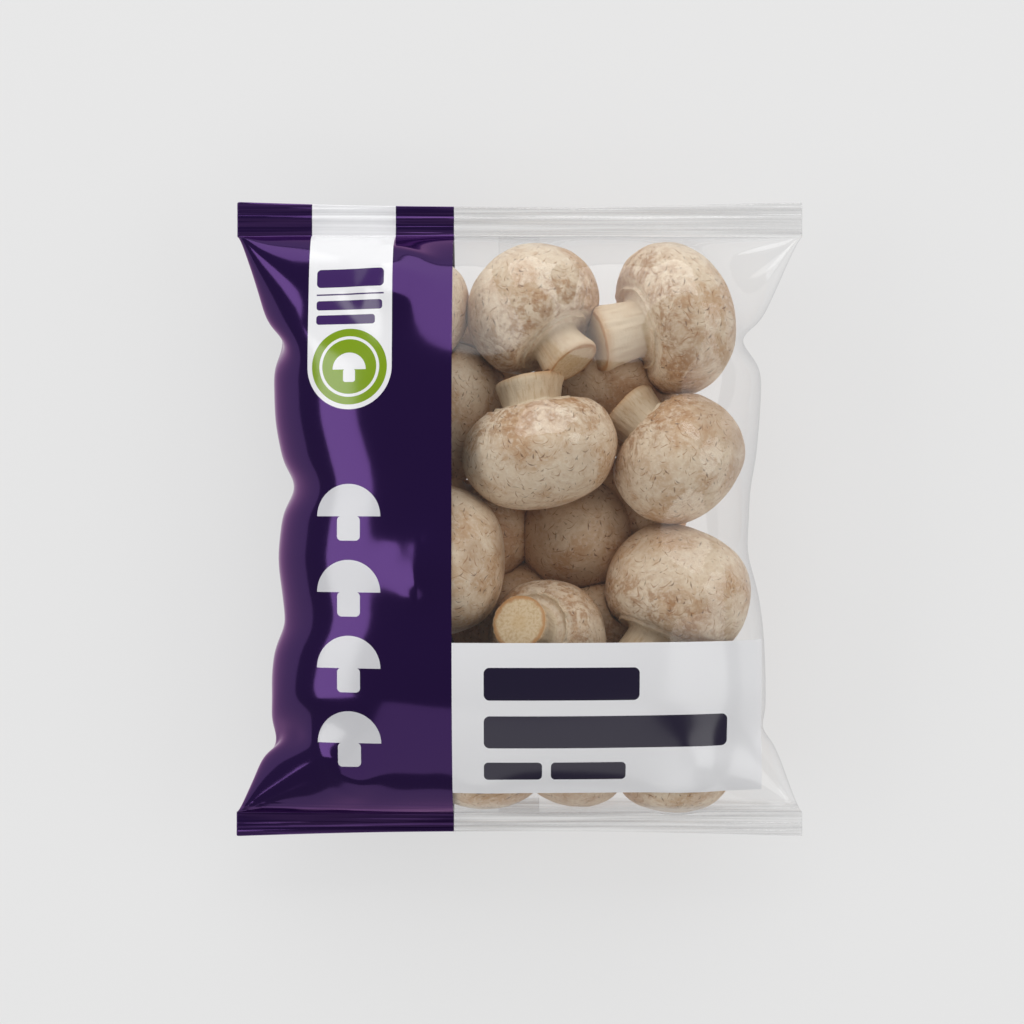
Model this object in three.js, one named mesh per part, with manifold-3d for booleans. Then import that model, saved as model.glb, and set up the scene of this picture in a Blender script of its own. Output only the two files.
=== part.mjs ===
// A heat-sealed film pillow bag of white button mushrooms, lying on its back.
// Millimetres. +X is the bag's right side, +Y its top seal, +Z its printed front, and the
// back of the bag rests on z = 0.

import * as THREE from 'three';
import { mergeVertices } from 'three/addons/utils/BufferGeometryUtils.js';
import Module from 'manifold-3d';

const wasm = await Module();
wasm.setup();

// ---------------------------------------------------------------- driving dimensions

const FILM_WALL = 0.8;            // thicker than real film, so that it is a solid
const GAP = 0.35;                 // clear space kept between neighbouring pieces
const SEAL_HALF_WIDTH = 79.7;     // flat width of the bag where it is sealed
const SEAL_END = 88.8;            // y of the cut edges at the corners
const SEAL_TOP_START = 79.0;      // y where the top seal begins
const SEAL_BOTTOM_START = 82;     // -y where the bottom seal begins
const EDGE_BOW = 1.4;             // how far the cut edges dip between the corners
const SEAL_Z = 23;                // height of the seals above the resting surface
const SEAL_HALF_THICKNESS = 0.5;
const RIB_RISE = 0.4;
const RIBS_PER_SEAL = 5;
const FRONT_RISE = 36;            // fullness of the front above the seals
const BACK_DROP = 28;             // fullness of the back below them, before it lies flat
const COLUMNS = 44;               // points around the bag
const BODY_ROWS = 30;             // rows between the seals
const ROW_CROWDING = 0.7;         // how much closer the rows stand near the seals
const DRAWING_PASSES = 14;        // steps in which the film is drawn over the mushrooms
const CAP_ROOM = 0.6;             // spare room for caps that aren't quite round
const DEEP_BELOW = 20;            // mushrooms with lower centres are mostly hidden by the others

// Half widths of the filled bag at heights y: [y, left, right].
const SIDE_OUTLINE = [
  [-82, 79.5, 79.7], [-75.5, 77.0, 77.8], [-70, 73.8, 75.0], [-61.5, 67.0, 68.0], [-55, 67.6, 67.8],
  [-46, 69.3, 68.6], [-38, 68.2, 68.4], [-28, 64.5, 67.6], [-22, 65.0, 66.4], [-10, 66.5, 63.2],
  [1, 64.4, 62.8], [8, 62.5, 63.6], [18, 65.0, 65.8], [26, 67.5, 66.7], [34, 68.0, 67.2],
  [41, 67.4, 67.0], [49, 65.6, 62.8], [58, 70.3, 67.8], [65, 73.8, 72.4], [79.0, 79.3, 79.7],
];

// Each mushroom: centre of its cap, the way its stem points, the cap's width and height,
// the stem's radius and length below the cap, the sideways bend of the stem's end, and how
// oval the cap is. Earlier mushrooms keep their full shape where two press together.
const MUSHROOMS = [
  { at: [6, 17, 41.5], stem: [-0.18, 0.97, -0.1], cap: [42, 28], foot: [8.6, 8.4], bend: 0.5, oval: 0.02 },
  { at: [2.6, 59.7, 33], stem: [0.52, -0.77, 0.38], cap: [37.5, 28], foot: [7.3, 9], bend: 0.3, oval: 0.03 },
  { at: [44.7, 56, 28], stem: [-0.91, -0.24, 0.33], cap: [43, 26], foot: [8.5, 13], bend: 0.8, oval: 0 },
  { at: [45.4, 15.6, 36], stem: [-0.67, 0.66, -0.28], cap: [37.6, 28], foot: [7.9, 9], bend: 0, oval: 0.02 },
  { at: [45, -18.8, 31], stem: [-0.45, -0.86, 0.2], cap: [41, 32], foot: [8.5, 10], bend: 0, oval: -0.03 },
  { at: [-20, -12, 39.5], stem: [-0.96, 0.15, -0.15], cap: [42, 32], foot: [8.5, 11], bend: 0, oval: 0.02 },
  { at: [8.6, -33.6, 34], stem: [-0.38, 0.28, 0.88], cap: [33, 26], foot: [7.3, 10], bend: -0.4, oval: 0.02 },
  { at: [-9, -65.3, 30], stem: [-0.1, 0.97, 0.1], cap: [36, 29], foot: [8, 9], bend: 0.5, oval: 0.03 },
  { at: [16.5, -66.2, 24], stem: [0.1, 0.95, -0.2], cap: [32, 28], foot: [7.5, 9], bend: 0, oval: -0.02 },
  { at: [43, -66.8, 27], stem: [0.05, 0.97, 0.1], cap: [35, 29], foot: [8, 10], bend: 0.4, oval: 0.02 },
  { at: [-31.2, 60.6, 31], stem: [-0.3, -0.92, 0.1], cap: [37, 29], foot: [8, 10], bend: 0, oval: -0.02 },
  { at: [-21.4, 28.6, 22], stem: [-0.6, 0.45, -0.5], cap: [43, 30], foot: [8, 6], bend: 0, oval: 0.02 },
  { at: [15.8, -3.2, 19], stem: [0.3, -0.5, -0.7], cap: [32, 26], foot: [7, 6], bend: 0, oval: 0.02 },
  { at: [23.4, 36.5, 17], stem: [0.2, 0.4, -0.75], cap: [39, 26], foot: [7, 5], bend: 0, oval: 0.02 },
  { at: [22, -29, 14], stem: [0.75, -0.6, 0.2], cap: [28, 22], foot: [7, 5], bend: 0, oval: 0.02 },
  { at: [-10.5, -5.4, 14.5], stem: [-0.6, 0.6, 0.2], cap: [33, 26], foot: [8.2, 8], bend: 0, oval: 0.02 },
  { at: [-48, 21, 27], stem: [0.6, 0.5, -0.3], cap: [36, 29], foot: [8, 8], bend: 0, oval: -0.02 },
  { at: [-46, -26, 25], stem: [-0.2, 0.95, 0.1], cap: [37, 30], foot: [8, 10], bend: 0.4, oval: 0.02 },
  { at: [-45, -62, 26], stem: [0.55, 0.65, 0.5], cap: [37, 29], foot: [8, 9], bend: 0.5, oval: 0.02 },
  { at: [-4.5, -25.5, 15], stem: [0.35, -0.7, -0.4], cap: [33, 26], foot: [7, 5], bend: 0, oval: 0.02 },
  { at: [34, 3, 13], stem: [0.2, -0.3, -0.93], cap: [27, 22], foot: [6.5, 4], bend: 0, oval: 0.02 },
  { at: [-10.5, 46, 12], stem: [0.1, 0.2, -0.95], cap: [26, 20], foot: [6, 3], bend: 0, oval: 0.02 },
];

// ---------------------------------------------------------------- small helpers

function clamp01(value) {
  return Math.min(1, Math.max(0, value));
}

// Smooth curve through a table of [position, value...] rows, read in one column.
function readTable(table, position, column) {
  let k = 0;
  while (k < table.length - 2 && position > table[k + 1][0]) k += 1;
  const [x0, x1] = [table[k][0], table[k + 1][0]];
  const before = table[Math.max(k - 1, 0)];
  const after = table[Math.min(k + 2, table.length - 1)];
  const y0 = table[k][column];
  const y1 = table[k + 1][column];
  const slope0 = (y1 - before[column]) / (x1 - before[0]);
  const slope1 = (after[column] - y0) / (after[0] - x0);
  const t = clamp01((position - x0) / (x1 - x0));
  const span = x1 - x0;
  return (2 * t ** 3 - 3 * t ** 2 + 1) * y0 + (t ** 3 - 2 * t ** 2 + t) * span * slope0
    + (3 * t ** 2 - 2 * t ** 3) * y1 + (t ** 3 - t ** 2) * span * slope1;
}

function solidFrom(geometry) {
  const plain = geometry.index ? geometry.clone() : geometry;
  plain.deleteAttribute('normal');
  plain.deleteAttribute('uv');
  const merged = mergeVertices(plain, 1e-4);
  return new wasm.Manifold(new wasm.Mesh({
    numProp: 3,
    vertProperties: new Float32Array(merged.attributes.position.array),
    triVerts: new Uint32Array(merged.index.array),
  }));
}

function geometryFrom(solid) {
  const mesh = solid.getMesh();
  const geometry = new THREE.BufferGeometry();
  geometry.setAttribute('position', new THREE.BufferAttribute(mesh.vertProperties, 3));
  geometry.setIndex(new THREE.BufferAttribute(mesh.triVerts, 1));
  geometry.computeVertexNormals();
  return geometry;
}

// ---------------------------------------------------------------- mushrooms

// Outline of one mushroom from the cut end of the stem, round the cap, to its crown.
// The cap's middle is at height 0 and `grow` adds a clear skin all round.
function mushroomProfile(spec, grow) {
  const radius = spec.cap[0] / 2 + grow;
  const height = spec.cap[1] + 2 * grow;
  const stemRadius = spec.foot[0] + grow;
  const rim = -height / 2;
  const end = rim - spec.foot[1] - grow;
  return [
    [0, end],
    [stemRadius * 1.06, end],
    [stemRadius * 1.08, end + 1.6],
    [stemRadius * 0.98, (end + rim) / 2],
    [stemRadius * 0.93, rim - 0.8],
    [stemRadius + 1.8, rim + 0.6],          // torn edge of the veil round the stem
    [radius * 0.70, rim + height * 0.02],
    [radius * 0.90, rim + height * 0.14],   // inrolled rim
    [radius, rim + height * 0.41],
    [radius * 0.93, rim + height * 0.66],
    [radius * 0.71, rim + height * 0.87],
    [radius * 0.37, rim + height * 0.975],
    [0, rim + height],
  ].map(([r, z]) => new THREE.Vector2(r, z));
}

function mushroomPose(spec) {
  const crown = new THREE.Vector3(...spec.stem).normalize().negate();
  const turn = new THREE.Quaternion().setFromUnitVectors(new THREE.Vector3(0, 0, 1), crown);
  return new THREE.Matrix4().compose(new THREE.Vector3(...spec.at), turn, new THREE.Vector3(1, 1, 1));
}

function mushroomSolid(spec, grow = 0) {
  const deep = spec.at[2] < DEEP_BELOW;
  const sides = deep ? 11 : 14;
  const geometry = new THREE.LatheGeometry(mushroomProfile(spec, grow), sides);
  geometry.rotateX(Math.PI / 2);            // the lathe's axis is Y, the mushroom's is Z
  const points = geometry.attributes.position;
  for (let i = 0; i < points.count; i += 1) {
    const z = points.getZ(i);
    const below = Math.max(0, -z - spec.cap[1] * 0.35) / spec.foot[1];
    const turn = Math.atan2(points.getY(i), points.getX(i));
    const lump = 1 + spec.oval * Math.cos(2 * turn) + 0.5 * spec.oval * Math.cos(3 * turn + 1);
    points.setX(i, points.getX(i) * lump + spec.bend * below ** 2);
    points.setY(i, points.getY(i) * lump);
  }
  geometry.applyMatrix4(mushroomPose(spec));
  return solidFrom(geometry);
}

// ---------------------------------------------------------------- film

// The way a point must move to stand clear of one mushroom by `clearance`.
function pushFrom({ inverse, turn, outline, reach }, point, clearance) {
  const local = point.clone().applyMatrix4(inverse);
  if (local.length() > reach + clearance) return null;
  const here = new THREE.Vector2(Math.hypot(local.x, local.y), local.z);
  let nearest = outline[0];
  let inside = false;
  for (let k = 1; k < outline.length; k += 1) {
    const [start, end] = [outline[k - 1], outline[k]];
    const edge = end.clone().sub(start);
    const share = clamp01(here.clone().sub(start).dot(edge) / edge.lengthSq());
    const place = start.clone().addScaledVector(edge, share);
    if (place.distanceTo(here) < nearest.distanceTo(here)) nearest = place;
    const straddles = (start.y > here.y) !== (end.y > here.y);
    if (straddles && start.x + ((here.y - start.y) * edge.x) / edge.y > here.x) inside = !inside;
  }
  const sense = inside ? -1 : 1;
  const away = here.clone().sub(nearest).multiplyScalar(sense);
  const depth = clearance - sense * away.length();
  if (depth <= 0) return null;
  away.setLength(depth);
  const round = away.x / Math.max(here.x, 0.1);
  return new THREE.Vector3(local.x * round, local.y * round, away.y).applyQuaternion(turn);
}

// What the film needs to know of each mushroom that it is drawn over.
function contactShapes() {
  return MUSHROOMS.map((spec) => {
    const pose = mushroomPose(spec);
    const outline = mushroomProfile(spec, 0);
    const reach = Math.max(...outline.map((point) => point.length()));
    const turn = new THREE.Quaternion().setFromRotationMatrix(pose);
    return { inverse: pose.clone().invert(), turn, outline, reach };
  });
}

// y of every row of film points, bottom edge to top edge, and its place in the seals.
function filmRows() {
  const rows = [];
  const steps = RIBS_PER_SEAL * 2;
  for (let k = 0; k <= steps; k += 1) {
    const y = -SEAL_END + (SEAL_END - SEAL_BOTTOM_START) * (k / steps);
    rows.push({ y, rib: k % 2 === 1 ? 1 : 0, seal: true });
  }
  for (let k = 1; k < BODY_ROWS; k += 1) {
    const even = k / BODY_ROWS;
    const share = even + ROW_CROWDING * ((1 - Math.cos(Math.PI * even)) / 2 - even);
    rows.push({ y: -SEAL_BOTTOM_START + (SEAL_BOTTOM_START + SEAL_TOP_START) * share, rib: 0, seal: false });
  }
  for (let k = 0; k <= steps; k += 1) {
    const y = SEAL_TOP_START + (SEAL_END - SEAL_TOP_START) * (k / steps);
    rows.push({ y, rib: k % 2 === 1 ? 1 : 0, seal: true });
  }
  return rows;
}

// One point of the loosely filled bag, before the mushrooms press into it.
function restingPoint(row, turn) {
  const left = row.seal ? SEAL_HALF_WIDTH : readTable(SIDE_OUTLINE, row.y, 1);
  const right = row.seal ? SEAL_HALF_WIDTH : readTable(SIDE_OUTLINE, row.y, 2);
  const middle = (right - left) / 2;
  const halfWidth = (left + right) / 2;
  const along = row.y < 0 ? -row.y / SEAL_BOTTOM_START : row.y / SEAL_TOP_START;
  const fullness = row.seal ? 0 : (1 - along ** (row.y < 0 ? 3.6 : 2.8)) ** 0.52;
  const pinch = clamp01((along - 0.6) / 0.4);
  const power = 0.86 + 0.9 * pinch;
  const sine = Math.sin(turn);
  const rise = Math.abs(sine) ** power * Math.sign(sine);
  const halfThickness = SEAL_HALF_THICKNESS + row.rib * RIB_RISE;
  const depth = halfThickness + fullness * (sine > 0 ? FRONT_RISE : BACK_DROP);
  const x = middle + halfWidth * Math.cos(turn);
  const bow = EDGE_BOW * (1 - (x / SEAL_HALF_WIDTH) ** 2) * clamp01((along - 0.8) / 0.2);
  const z = row.seal ? SEAL_Z + halfThickness * Math.sign(Math.round(sine * 100)) : SEAL_Z + depth * rise;
  return new THREE.Vector3(x, row.y - Math.sign(row.y) * bow, z);
}

// The film's outer face as rows of points, drawn over the mushrooms inside it and then
// pressed flat where it rests. Points move up and down, and at the bag's sides also across.
function filmSkin() {
  const rows = filmRows();
  const turns = Array.from({ length: COLUMNS }, (_, i) => (2 * Math.PI * i) / COLUMNS);
  const skin = rows.map((row) => turns.map((turn) => restingPoint(row, turn)));
  const shapes = contactShapes();
  const clearance = FILM_WALL + GAP + CAP_ROOM;
  const smoothing = 0.3;
  const sideShare = 0.9;
  const flattest = 0.3;
  for (let pass = 0; pass < DRAWING_PASSES; pass += 1) {
    const before = skin.map((ring) => ring.map((point) => point.z));
    const last = pass >= DRAWING_PASSES - 2;
    rows.forEach((row, j) => {
      if (row.seal) return;
      skin[j].forEach((point, i) => {
        const beside = before[j][(i + 1) % COLUMNS] + before[j][(i + COLUMNS - 1) % COLUMNS];
        const mean = (beside + before[j + 1][i] + before[j - 1][i]) / 4;
        if (!last) point.z += (mean - point.z) * smoothing;
        shapes.forEach((shape) => {
          const push = pushFrom(shape, point, clearance);
          if (!push) return;
          point.z += (push.z * push.lengthSq()) / Math.max(push.z ** 2, flattest * push.lengthSq());
          if (Math.abs(Math.cos(turns[i])) > sideShare) point.x += push.x;
        });
      });
    });
  }
  skin.flat().forEach((point) => point.setZ(Math.max(point.z, 0)));
  return { rows, skin };
}

// Closes rows of points into a surface, with its two ends zipped front to back.
function closedSurface(rings) {
  const columns = rings[0].length;
  const positions = rings.flat().flatMap((p) => [p.x, p.y, p.z]);
  const index = [];
  const at = (j, i) => j * columns + ((i + columns) % columns);
  for (let j = 0; j < rings.length - 1; j += 1) {
    for (let i = 0; i < columns; i += 1) {
      index.push(at(j, i), at(j + 1, i), at(j, i + 1));
      index.push(at(j, i + 1), at(j + 1, i), at(j + 1, i + 1));
    }
  }
  for (const [j, first] of [[0, true], [rings.length - 1, false]]) {
    for (let i = 0; i < columns / 2; i += 1) {
      const corners = [at(j, i), at(j, i + 1), at(j, columns - i - 1), at(j, columns - i)];
      if (!first) corners.reverse();
      const [a, b, c, d] = corners;
      if (a !== d) index.push(a, b, d);
      if (b !== c) index.push(b, c, d);
    }
  }
  const geometry = new THREE.BufferGeometry();
  geometry.setAttribute('position', new THREE.Float32BufferAttribute(positions, 3));
  geometry.setIndex(index);
  return geometry;
}

// The room inside the film, smaller than its outer face by `inset`.
function cavityGeometry({ rows, skin }, inset) {
  const rings = [];
  skin.forEach((ring, j) => {
    const high = Math.max(...ring.map((point) => point.z)) - SEAL_Z;
    if (rows[j].seal || high < 3 * FILM_WALL) return;
    rings.push(ring.map((point, i) => {
      const turn = (2 * Math.PI * i) / COLUMNS;
      const [cosine, sine] = [Math.cos(turn), Math.sin(turn)];
      const x = point.x - inset * Math.sign(cosine) * cosine ** 4;
      const y = point.y * (1 - (inset - FILM_WALL) / SEAL_TOP_START);
      const reach = Math.max(Math.abs(point.z - SEAL_Z) - inset, 0.25 * FILM_WALL / inset * Math.abs(sine));
      const side = Math.abs(sine) < 1e-6 ? 0 : Math.sign(sine);
      return new THREE.Vector3(x, y, SEAL_Z + side * reach);
    }));
  });
  return closedSurface(rings);
}

// The fin of the lengthwise seam, folded flat against the back of the bag.
function finGeometry({ rows, skin }) {
  const finWidth = 12;
  const finThickness = 0.8;
  const rings = skin.map((ring) => {
    const back = (x) => {
      const lower = ring.filter((point, i) => i >= COLUMNS / 2);
      lower.sort((p, q) => p.x - q.x);
      const k = Math.max(1, lower.findIndex((point) => point.x > x));
      const share = (x - lower[k - 1].x) / (lower[k].x - lower[k - 1].x);
      return lower[k - 1].clone().lerp(lower[k], share);
    };
    const [from, to] = [back(-finWidth / 2), back(finWidth / 2)];
    const sink = finThickness * 0.45;
    return [
      new THREE.Vector3(to.x, to.y, to.z + sink),
      new THREE.Vector3(from.x, from.y, from.z + sink),
      new THREE.Vector3(from.x, from.y, Math.max(0, from.z - finThickness)),
      new THREE.Vector3(to.x, to.y, Math.max(0, to.z - finThickness)),
    ];
  });
  return closedSurface(rings.slice(1, rows.length - 1));
}

// A small breathing hole in the back of the film.
function ventGeometry([x, y]) {
  const ventRadius = 2.5;
  const geometry = new THREE.CylinderGeometry(ventRadius, ventRadius, SEAL_Z - 1, 12);
  geometry.rotateX(Math.PI / 2);
  geometry.translate(x, y, (SEAL_Z - 1) / 2 - 1);
  return geometry;
}

function filmSolid(film) {
  const ventPlaces = [[-40, 48], [40, 48], [-40, -48], [40, -48]];
  let solid = solidFrom(closedSurface(film.skin));
  solid = solid.add(solidFrom(finGeometry(film)));
  solid = solid.subtract(solidFrom(cavityGeometry(film, FILM_WALL)));
  for (const place of ventPlaces) solid = solid.subtract(solidFrom(ventGeometry(place)));
  return solid;
}

// ---------------------------------------------------------------- assembly

const clearFilm = new THREE.MeshStandardMaterial({
  name: 'clear film', color: '#d9d6de', roughness: 0.08, metalness: 0, transparent: true, opacity: 0.35,
});
const mushroomFlesh = new THREE.MeshStandardMaterial({
  name: 'mushroom', color: '#e4d6c3', roughness: 0.75, metalness: 0,
});

const film = filmSkin();
const group = new THREE.Group();
group.name = 'mushroom_bag';

const filmMesh = new THREE.Mesh(geometryFrom(filmSolid(film)), clearFilm);
filmMesh.name = 'film_bag';
group.add(filmMesh);

const room = solidFrom(cavityGeometry(film, FILM_WALL + 1.3 * GAP));
const placed = [];
MUSHROOMS.forEach((spec, k) => {
  let solid = mushroomSolid(spec).intersect(room);
  for (const other of placed) solid = solid.subtract(mushroomSolid(other, GAP));
  placed.push(spec);
  const mesh = new THREE.Mesh(geometryFrom(solid), mushroomFlesh);
  mesh.name = `mushroom_${String(k + 1).padStart(2, '0')}`;
  group.add(mesh);
});

export default group;
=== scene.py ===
"""Looks of a film pillow bag of white button mushrooms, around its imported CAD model.

The film and every mushroom stand in for the plain solid of the same place and size. Points are
worked out in millimetres, and new_mesh_object turns them into metres.
"""

import math

import bpy
import numpy as np
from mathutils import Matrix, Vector
from mathutils.bvhtree import BVHTree


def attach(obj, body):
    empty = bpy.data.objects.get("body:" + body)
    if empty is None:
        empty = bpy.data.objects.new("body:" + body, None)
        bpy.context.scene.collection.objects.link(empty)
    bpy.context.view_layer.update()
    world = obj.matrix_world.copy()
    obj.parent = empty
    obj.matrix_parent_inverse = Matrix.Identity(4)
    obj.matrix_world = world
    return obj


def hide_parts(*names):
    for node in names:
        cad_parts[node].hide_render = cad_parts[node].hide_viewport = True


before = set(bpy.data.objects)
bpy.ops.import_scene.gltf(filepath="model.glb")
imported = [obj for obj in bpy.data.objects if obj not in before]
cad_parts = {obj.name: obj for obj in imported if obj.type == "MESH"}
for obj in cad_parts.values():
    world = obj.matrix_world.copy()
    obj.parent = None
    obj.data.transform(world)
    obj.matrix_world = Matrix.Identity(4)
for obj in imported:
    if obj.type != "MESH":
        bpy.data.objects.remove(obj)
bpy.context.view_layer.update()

MM = 0.001

# ---------------------------------------------------------------- driving dimensions (mm)

SEAL_HALF_WIDTH = 79.7
SEAL_END = 88.8
SEAL_TOP = 79.0
SEAL_BOTTOM = 82.0
SEAL_Z = 23.0
SEAL_STEPS = 12
SEAL_RIBS = 4
EDGE_BOW = 1.4
FRONT_RISE = 36.0
BACK_DROP = 24.0
FILM_GIRTH = 4 * SEAL_HALF_WIDTH
FILM_CLEARANCE = 0.9
FIN_WIDTH = 12.0
FIN_THICKNESS = 0.6
VENT_RADIUS = 2.5
VENTS = [(-40, 48), (40, 48), (-40, -48), (40, -48)]

# Half widths of the filled bag at heights y: [y, left, right].
SIDE_OUTLINE = np.array([
    [-82, 79.5, 79.7], [-75.5, 77.0, 77.8], [-70, 73.8, 75.0], [-61.5, 67.0, 68.0], [-55, 67.6, 67.8],
    [-46, 69.3, 68.6], [-38, 68.2, 68.4], [-28, 64.5, 67.6], [-22, 65.0, 66.4], [-10, 66.5, 63.2],
    [1, 64.4, 62.8], [8, 62.5, 63.6], [18, 65.0, 65.8], [26, 67.5, 66.7], [34, 68.0, 67.2],
    [41, 67.4, 67.0], [49, 65.6, 62.8], [58, 70.3, 67.8], [65, 73.8, 72.4], [79.0, 79.3, 79.7],
])

# Each mushroom: its cap's centre, the way its stem points, the cap's width and height, the
# stem's radius and length, the bend of the stem's end and how oval the cap is.
MUSHROOMS = [
    ((6, 17.0, 41.5), (-0.18, 0.97, -0.10), 42, 28, 8.6, 8.4, 0.5, 0.02),
    ((2.6, 59.7, 33), (0.52, -0.77, 0.38), 37.5, 28, 7.3, 9, 0.3, 0.03),
    ((44.7, 56.0, 28), (-0.91, -0.24, 0.33), 43, 26, 8.5, 13, 0.8, 0),
    ((45.4, 15.6, 36), (-0.67, 0.66, -0.28), 37.6, 28, 7.9, 9, 0, 0.02),
    ((45, -18.8, 31), (-0.45, -0.86, 0.2), 41, 32, 8.5, 10, 0, -0.03),
    ((-20, -12, 39.5), (-0.96, 0.15, -0.15), 42, 32, 8.5, 11, 0, 0.02),
    ((8.6, -33.6, 34), (-0.38, 0.28, 0.88), 33, 26, 7.3, 10, -0.4, 0.02),
    ((-9, -65.3, 30), (-0.1, 0.97, 0.1), 36, 29, 8, 9, 0.5, 0.03),
    ((16.5, -66.2, 24), (0.1, 0.95, -0.2), 32, 28, 7.5, 9, 0, -0.02),
    ((43, -66.8, 27), (0.05, 0.97, 0.1), 35, 29, 8, 10, 0.4, 0.02),
    ((-31.2, 60.6, 31), (-0.3, -0.92, 0.1), 37, 29, 8, 10, 0, -0.02),
    ((-21.4, 28.6, 22), (-0.6, 0.45, -0.5), 43, 30, 8, 6, 0, 0.02),
    ((15.8, -3.2, 19), (0.3, -0.5, -0.7), 32, 26, 7, 6, 0, 0.02),
    ((23.6, 35.6, 17), (0.2, 0.4, -0.75), 40, 26, 7, 5, 0, 0.02),
    ((22, -29, 14), (0.75, -0.6, 0.2), 28, 22, 7, 5, 0, 0.02),
    ((-10.5, -5.4, 14.5), (-0.6, 0.6, 0.2), 33, 26, 8.2, 8, 0, 0.02),
    ((-48, 21, 27), (0.6, 0.5, -0.3), 36, 29, 8, 8, 0, -0.02),
    ((-46, -26, 25), (-0.2, 0.95, 0.1), 37, 30, 8, 10, 0.4, 0.02),
    ((-45, -62, 26), (0.55, 0.65, 0.5), 37, 29, 8, 9, 0.5, 0.02),
    ((-4.5, -25.5, 15), (0.35, -0.7, -0.4), 33, 26, 7, 5, 0, 0.02),
    ((33.4, 3.6, 13), (0.2, -0.3, -0.93), 28.5, 22, 6.5, 4, 0, 0.02),
    ((-10.5, 46, 12), (0.1, 0.2, -0.95), 26, 20, 6, 3, 0, 0.02),
]
MUSHROOM_SIDES = 112
MUSHROOM_GAP = 0.25
LOWEST_FLESH = 1.2
LOWEST_PRESSED = 0.5

# The film's net before it is doubled once.
FILM_ROWS = 54
FILM_COLUMNS = 88

# The print across the front, in mm: a dark panel on the left, a white tab with a badge that
# hangs from the top seal, and a white label low on the right.
PANEL_EDGE = -18.2
TAB_X, TAB_Y, TAB_RADIUS, TAB_TOP = -46.2, 41.5, 11.7, 95
BADGE_RADIUS = 10.4
RING_OUTER, RING_INNER = 8.3, 7.5
ICON_SIZE = 4.6
SIGN_X, SIGN_Y, SIGN_PITCH, SIGN_COUNT, SIGN_SIZE = -46.3, 0.8, 20.6, 4, 8.8
LABEL = (PANEL_EDGE, -74.9, 67.2, -33.2)

# Bars that hold the places of words: left, bottom, right, top and the corners' radius.
TAB_BARS = [
    (TAB_X - 9.4, 63.5, TAB_X + 9.4, 68.6, 1.2), (TAB_X - 9.4, 61.3, TAB_X + 9.4, 61.7, 0),
    (TAB_X - 9.4, 57.2, TAB_X + 9.0, 59.8, 0.8), (TAB_X - 9.4, 53.2, TAB_X + 7.0, 55.8, 0.8),
]
LABEL_BARS = [
    (-9.6, -48.8, 32.5, -39.9, 1.6), (-9.6, -62.0, 57.0, -53.1, 1.6),
    (-9.6, -70.9, 6.2, -66.0, 1.2), (8.6, -70.9, 29.0, -66.0, 1.2),
]


# ---------------------------------------------------------------- helpers

def smooth_table(xs, ys, x):
    """Cubic curve through table points."""
    slope = np.gradient(ys, xs)
    k = np.clip(np.searchsorted(xs, x) - 1, 0, len(xs) - 2)
    span = xs[k + 1] - xs[k]
    t = np.clip((x - xs[k]) / span, 0, 1)
    return ((2 * t**3 - 3 * t**2 + 1) * ys[k] + (t**3 - 2 * t**2 + t) * span * slope[k]
            + (3 * t**2 - 2 * t**3) * ys[k + 1] + (t**3 - t**2) * span * slope[k + 1])


def resample(curve, count):
    """Evenly spaced points round a closed polyline, without its last point."""
    steps = np.linalg.norm(np.diff(curve, axis=0), axis=1)
    along = np.r_[0, np.cumsum(steps)]
    places = np.arange(count) * along[-1] / count
    return np.stack([np.interp(places, along, curve[:, k]) for k in range(curve.shape[1])], 1)


def wavy(points, rng, scale, waves=14):
    """Smooth noise near -1..1 made of random plane waves of about the given length."""
    total = np.zeros(len(points))
    for _ in range(waves):
        direction = rng.normal(size=points.shape[1])
        direction *= 2 * np.pi / scale * rng.uniform(0.6, 1.5) / np.linalg.norm(direction)
        total += np.sin(points @ direction + rng.uniform(0, 2 * np.pi))
    return total / math.sqrt(waves)


def strip_faces(index, rows_first=False):
    """Quads over a net of point numbers whose rows close on themselves. Each goes round along its
    row first, or across to the next row first, which turns its face the other way."""
    following = np.roll(index, -1, 1)
    corners = [index[:-1], following[:-1], following[1:], index[1:]]
    if rows_first:
        corners = [index[:-1], index[1:], following[1:], following[:-1]]
    return np.stack(corners, 2).reshape(-1, 4).tolist()


def new_mesh_object(name, points_mm, faces):
    mesh = bpy.data.meshes.new(name)
    mesh.from_pydata((np.asarray(points_mm) * MM).tolist(), [], faces)
    mesh.polygons.foreach_set("use_smooth", [True] * len(mesh.polygons))
    mesh.update()
    piece = bpy.data.objects.new(name, mesh)
    bpy.context.scene.collection.objects.link(piece)
    return piece


def store(piece, name, values):
    """Keeps a number or a vector for each point, for the material to read."""
    values = np.asarray(values, np.float32)
    if values.ndim == 2:
        layer = piece.data.attributes.new(name, "FLOAT_VECTOR", "POINT")
        layer.data.foreach_set("vector", values.ravel())
    else:
        layer = piece.data.attributes.new(name, "FLOAT", "POINT")
        layer.data.foreach_set("value", values)


# ---------------------------------------------------------------- mushrooms

def crown_turn(stem):
    """Rotation matrix that takes +Z to the crown's direction."""
    crown = -np.array(stem, float)
    crown /= np.linalg.norm(crown)
    axis = np.cross([0.0, 0.0, 1.0], crown)
    skew = np.array([[0, -axis[2], axis[1]], [axis[2], 0, -axis[0]], [-axis[1], axis[0], 0]])
    return np.eye(3) + skew + skew @ skew / (1 + crown[2])


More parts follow.
